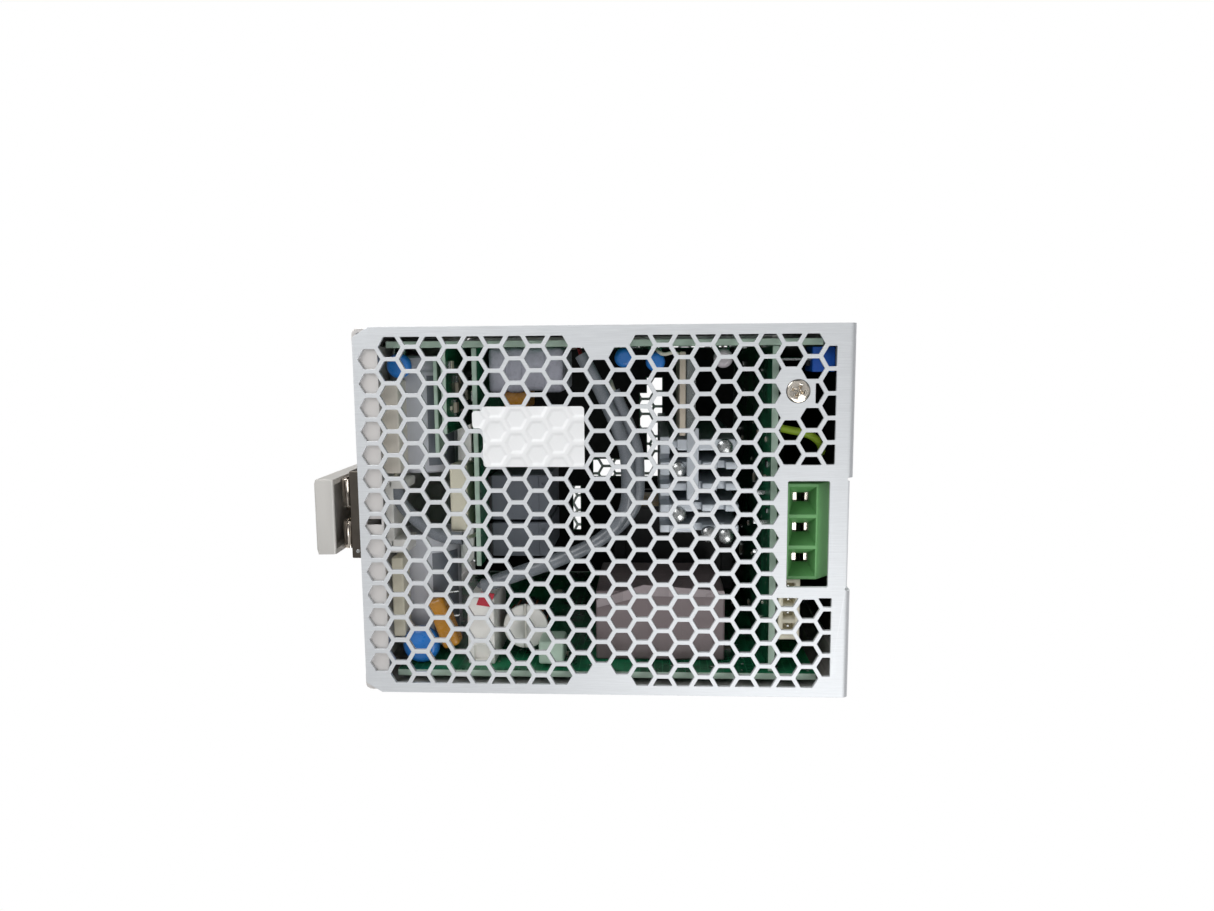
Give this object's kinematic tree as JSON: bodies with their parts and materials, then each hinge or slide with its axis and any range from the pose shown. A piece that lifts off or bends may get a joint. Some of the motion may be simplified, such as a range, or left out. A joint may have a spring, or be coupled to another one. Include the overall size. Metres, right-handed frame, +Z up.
{
  "type": "din rail power supply",
  "caption": "Upright DIN-rail power supply in a sheet-metal housing with hexagon-mesh covers, plug-in screw terminals and a sprung rail foot.",
  "frame": {"origin": "on the rail seat plane, at the middle of the rail's height", "axes": "+Y points out of the rail seat towards the rail, the front faces -Y, +Z is up"},
  "size_m": [0.09, 0.1308, 0.1302],
  "materials": {
    "cover_sheet": "lightly brushed sheet",
    "chassis_sheet": "plain bent sheet",
    "label_film": "matt white film",
    "nickel": "bright nickel plate",
    "cast_aluminium": "satin",
    "dark_steel": "dark passivated",
    "spring_steel": "bright",
    "green_plastic": "moulded, fine grain",
    "blue_plastic": "moulded",
    "blue_lacquer": "dipped lacquer",
    "white_plastic": "moulded",
    "clear_green": "clear moulded",
    "clear_yellow": "clear moulded",
    "board_green": "solder resist",
    "grey_plastic": "moulded",
    "lavender_tape": "wound tape",
    "mauve_tape": "wound tape",
    "yellow_tape": "wound tape",
    "grey_sleeve": "silicone sleeve",
    "light_sleeve": "shrunk film",
    "ochre_resin": "dipped resin",
    "heat_sink_aluminium": "stamped"
  },
  "bodies": {
    "housing": {"chassis": "chassis_sheet", "bottom_cover": "cover_sheet", "top_cover": "cover_sheet", "blank_label": "label_film", "cover_screw_bottom": "nickel", "cover_screw_top": "nickel", "front_fascia": "cover_sheet", "dc_ok_light_pipe": "clear_green", "boost_light_pipe": "clear_yellow", "rail_bracket": "dark_steel", "bracket_screw_1": "nickel", "bracket_screw_2": "nickel", "foot_spring": "spring_steel", "voltage_trimmer": "blue_plastic", "main_board": "board_green", "side_board": "board_green", "front_board": "board_green", "rear_cross_board": "board_green", "relay_cross_board": "board_green", "boxed_choke": "mauve_tape", "output_transformer": "yellow_tape", "wrapped_transformer": "lavender_tape", "relay_1": "grey_plastic", "relay_2": "grey_plastic", "fuse_holder": "white_plastic", "ring_choke": "white_plastic", "surge_disc": "blue_lacquer", "film_capacitor": "ochre_resin", "bulk_capacitor_1": "light_sleeve", "bulk_capacitor_2": "light_sleeve", "heat_sink": "heat_sink_aluminium", "cable_sleeve": "grey_sleeve", "rear_sleeve": "grey_sleeve", "ac_header": "green_plastic", "dc_header": "green_plastic", "signal_header": "green_plastic"},
    "foot": {"release_foot": "cast_aluminium", "foot_guide_pin": "nickel"},
    "ac_plug": {"ac_plug": "green_plastic"},
    "ac_clamp_screw_1": {"ac_clamp_screw_1": "nickel"},
    "ac_clamp_cage_1": {"ac_clamp_cage_1": "nickel"},
    "ac_clamp_screw_2": {"ac_clamp_screw_2": "nickel"},
    "ac_clamp_cage_2": {"ac_clamp_cage_2": "nickel"},
    "ac_clamp_screw_3": {"ac_clamp_screw_3": "nickel"},
    "ac_clamp_cage_3": {"ac_clamp_cage_3": "nickel"},
    "dc_plug": {"dc_plug": "green_plastic"},
    "dc_clamp_screw_1": {"dc_clamp_screw_1": "nickel"},
    "dc_clamp_cage_1": {"dc_clamp_cage_1": "nickel"},
    "dc_clamp_screw_2": {"dc_clamp_screw_2": "nickel"},
    "dc_clamp_cage_2": {"dc_clamp_cage_2": "nickel"},
    "dc_clamp_screw_3": {"dc_clamp_screw_3": "nickel"},
    "dc_clamp_cage_3": {"dc_clamp_cage_3": "nickel"},
    "dc_clamp_screw_4": {"dc_clamp_screw_4": "nickel"},
    "dc_clamp_cage_4": {"dc_clamp_cage_4": "nickel"},
    "signal_plug": {"signal_plug": "green_plastic"},
    "signal_clamp_screw_1": {"signal_clamp_screw_1": "nickel"},
    "signal_clamp_cage_1": {"signal_clamp_cage_1": "nickel"},
    "signal_clamp_screw_2": {"signal_clamp_screw_2": "nickel"},
    "signal_clamp_cage_2": {"signal_clamp_cage_2": "nickel"},
    "trimmer_rotor": {"trimmer_rotor": "white_plastic"}
  },
  "joints": [
    {"name": "foot_release", "type": "slide", "parent": "housing", "child": "foot", "axis": [0, 0, -1], "range_m": [0, 0.0055], "stiffness_N_per_m": 2500, "springref_m": -0.002, "deforming": ["foot_spring"]},
    {"name": "ac_plug_pull", "type": "slide", "parent": "housing", "child": "ac_plug", "axis": [0, -1, 0], "range_m": [0, 0.02]},
    {"name": "ac_clamp_screw_1_turn", "type": "hinge", "parent": "ac_plug", "child": "ac_clamp_screw_1", "pos_m": [-0.00282, -0.12, -0.051], "axis": [0, 1, 0], "range_deg": [0, 1080]},
    {"name": "ac_clamp_cage_1_lift", "type": "slide", "parent": "ac_plug", "child": "ac_clamp_cage_1", "axis": [0, -1, 0], "range_m": [0, 0.0015]},
    {"name": "ac_clamp_screw_2_turn", "type": "hinge", "parent": "ac_plug", "child": "ac_clamp_screw_2", "pos_m": [0.0048, -0.12, -0.051], "axis": [0, 1, 0], "range_deg": [0, 1080]},
    {"name": "ac_clamp_cage_2_lift", "type": "slide", "parent": "ac_plug", "child": "ac_clamp_cage_2", "axis": [0, -1, 0], "range_m": [0, 0.0015]},
    {"name": "ac_clamp_screw_3_turn", "type": "hinge", "parent": "ac_plug", "child": "ac_clamp_screw_3", "pos_m": [0.01242, -0.12, -0.051], "axis": [0, 1, 0], "range_deg": [0, 1080]},
    {"name": "ac_clamp_cage_3_lift", "type": "slide", "parent": "ac_plug", "child": "ac_clamp_cage_3", "axis": [0, -1, 0], "range_m": [0, 0.0015]},
    {"name": "dc_plug_pull", "type": "slide", "parent": "housing", "child": "dc_plug", "axis": [0, -1, 0], "range_m": [0, 0.02]},
    {"name": "dc_clamp_screw_1_turn", "type": "hinge", "parent": "dc_plug", "child": "dc_clamp_screw_1", "pos_m": [0.00157, -0.12, 0.051], "axis": [0, 1, 0], "range_deg": [0, 1080]},
    {"name": "dc_clamp_cage_1_lift", "type": "slide", "parent": "dc_plug", "child": "dc_clamp_cage_1", "axis": [0, -1, 0], "range_m": [0, 0.0015]},
    {"name": "dc_clamp_screw_2_turn", "type": "hinge", "parent": "dc_plug", "child": "dc_clamp_screw_2", "pos_m": [0.00919, -0.12, 0.051], "axis": [0, 1, 0], "range_deg": [0, 1080]},
    {"name": "dc_clamp_cage_2_lift", "type": "slide", "parent": "dc_plug", "child": "dc_clamp_cage_2", "axis": [0, -1, 0], "range_m": [0, 0.0015]},
    {"name": "dc_clamp_screw_3_turn", "type": "hinge", "parent": "dc_plug", "child": "dc_clamp_screw_3", "pos_m": [0.01681, -0.12, 0.051], "axis": [0, 1, 0], "range_deg": [0, 1080]},
    {"name": "dc_clamp_cage_3_lift", "type": "slide", "parent": "dc_plug", "child": "dc_clamp_cage_3", "axis": [0, -1, 0], "range_m": [0, 0.0015]},
    {"name": "dc_clamp_screw_4_turn", "type": "hinge", "parent": "dc_plug", "child": "dc_clamp_screw_4", "pos_m": [0.02443, -0.12, 0.051], "axis": [0, 1, 0], "range_deg": [0, 1080]},
    {"name": "dc_clamp_cage_4_lift", "type": "slide", "parent": "dc_plug", "child": "dc_clamp_cage_4", "axis": [0, -1, 0], "range_m": [0, 0.0015]},
    {"name": "signal_plug_pull", "type": "slide", "parent": "housing", "child": "signal_plug", "axis": [0, -1, 0], "range_m": [0, 0.02]},
    {"name": "signal_clamp_screw_1_turn", "type": "hinge", "parent": "signal_plug", "child": "signal_clamp_screw_1", "pos_m": [-0.01854, -0.12, 0.051], "axis": [0, 1, 0], "range_deg": [0, 1080]},
    {"name": "signal_clamp_cage_1_lift", "type": "slide", "parent": "signal_plug", "child": "signal_clamp_cage_1", "axis": [0, -1, 0], "range_m": [0, 0.0015]},
    {"name": "signal_clamp_screw_2_turn", "type": "hinge", "parent": "signal_plug", "child": "signal_clamp_screw_2", "pos_m": [-0.01346, -0.12, 0.051], "axis": [0, 1, 0], "range_deg": [0, 1080]},
    {"name": "signal_clamp_cage_2_lift", "type": "slide", "parent": "signal_plug", "child": "signal_clamp_cage_2", "axis": [0, -1, 0], "range_m": [0, 0.0015]},
    {"name": "trimmer_turn", "type": "hinge", "parent": "housing", "child": "trimmer_rotor", "pos_m": [-0.03655, -0.1226, -0.052], "axis": [0, 1, 0], "range_deg": [-135, 135]}
  ],
  "couplings": [
    {"joint": "ac_clamp_screw_1_turn", "follows": "ac_clamp_cage_1_lift", "rad_per_m": 12566},
    {"joint": "ac_clamp_screw_2_turn", "follows": "ac_clamp_cage_2_lift", "rad_per_m": 12566},
    {"joint": "ac_clamp_screw_3_turn", "follows": "ac_clamp_cage_3_lift", "rad_per_m": 12566},
    {"joint": "dc_clamp_screw_1_turn", "follows": "dc_clamp_cage_1_lift", "rad_per_m": 12566},
    {"joint": "dc_clamp_screw_2_turn", "follows": "dc_clamp_cage_2_lift", "rad_per_m": 12566},
    {"joint": "dc_clamp_screw_3_turn", "follows": "dc_clamp_cage_3_lift", "rad_per_m": 12566},
    {"joint": "dc_clamp_screw_4_turn", "follows": "dc_clamp_cage_4_lift", "rad_per_m": 12566},
    {"joint": "signal_clamp_screw_1_turn", "follows": "signal_clamp_cage_1_lift", "rad_per_m": 12566},
    {"joint": "signal_clamp_screw_2_turn", "follows": "signal_clamp_cage_2_lift", "rad_per_m": 12566}
  ]
}
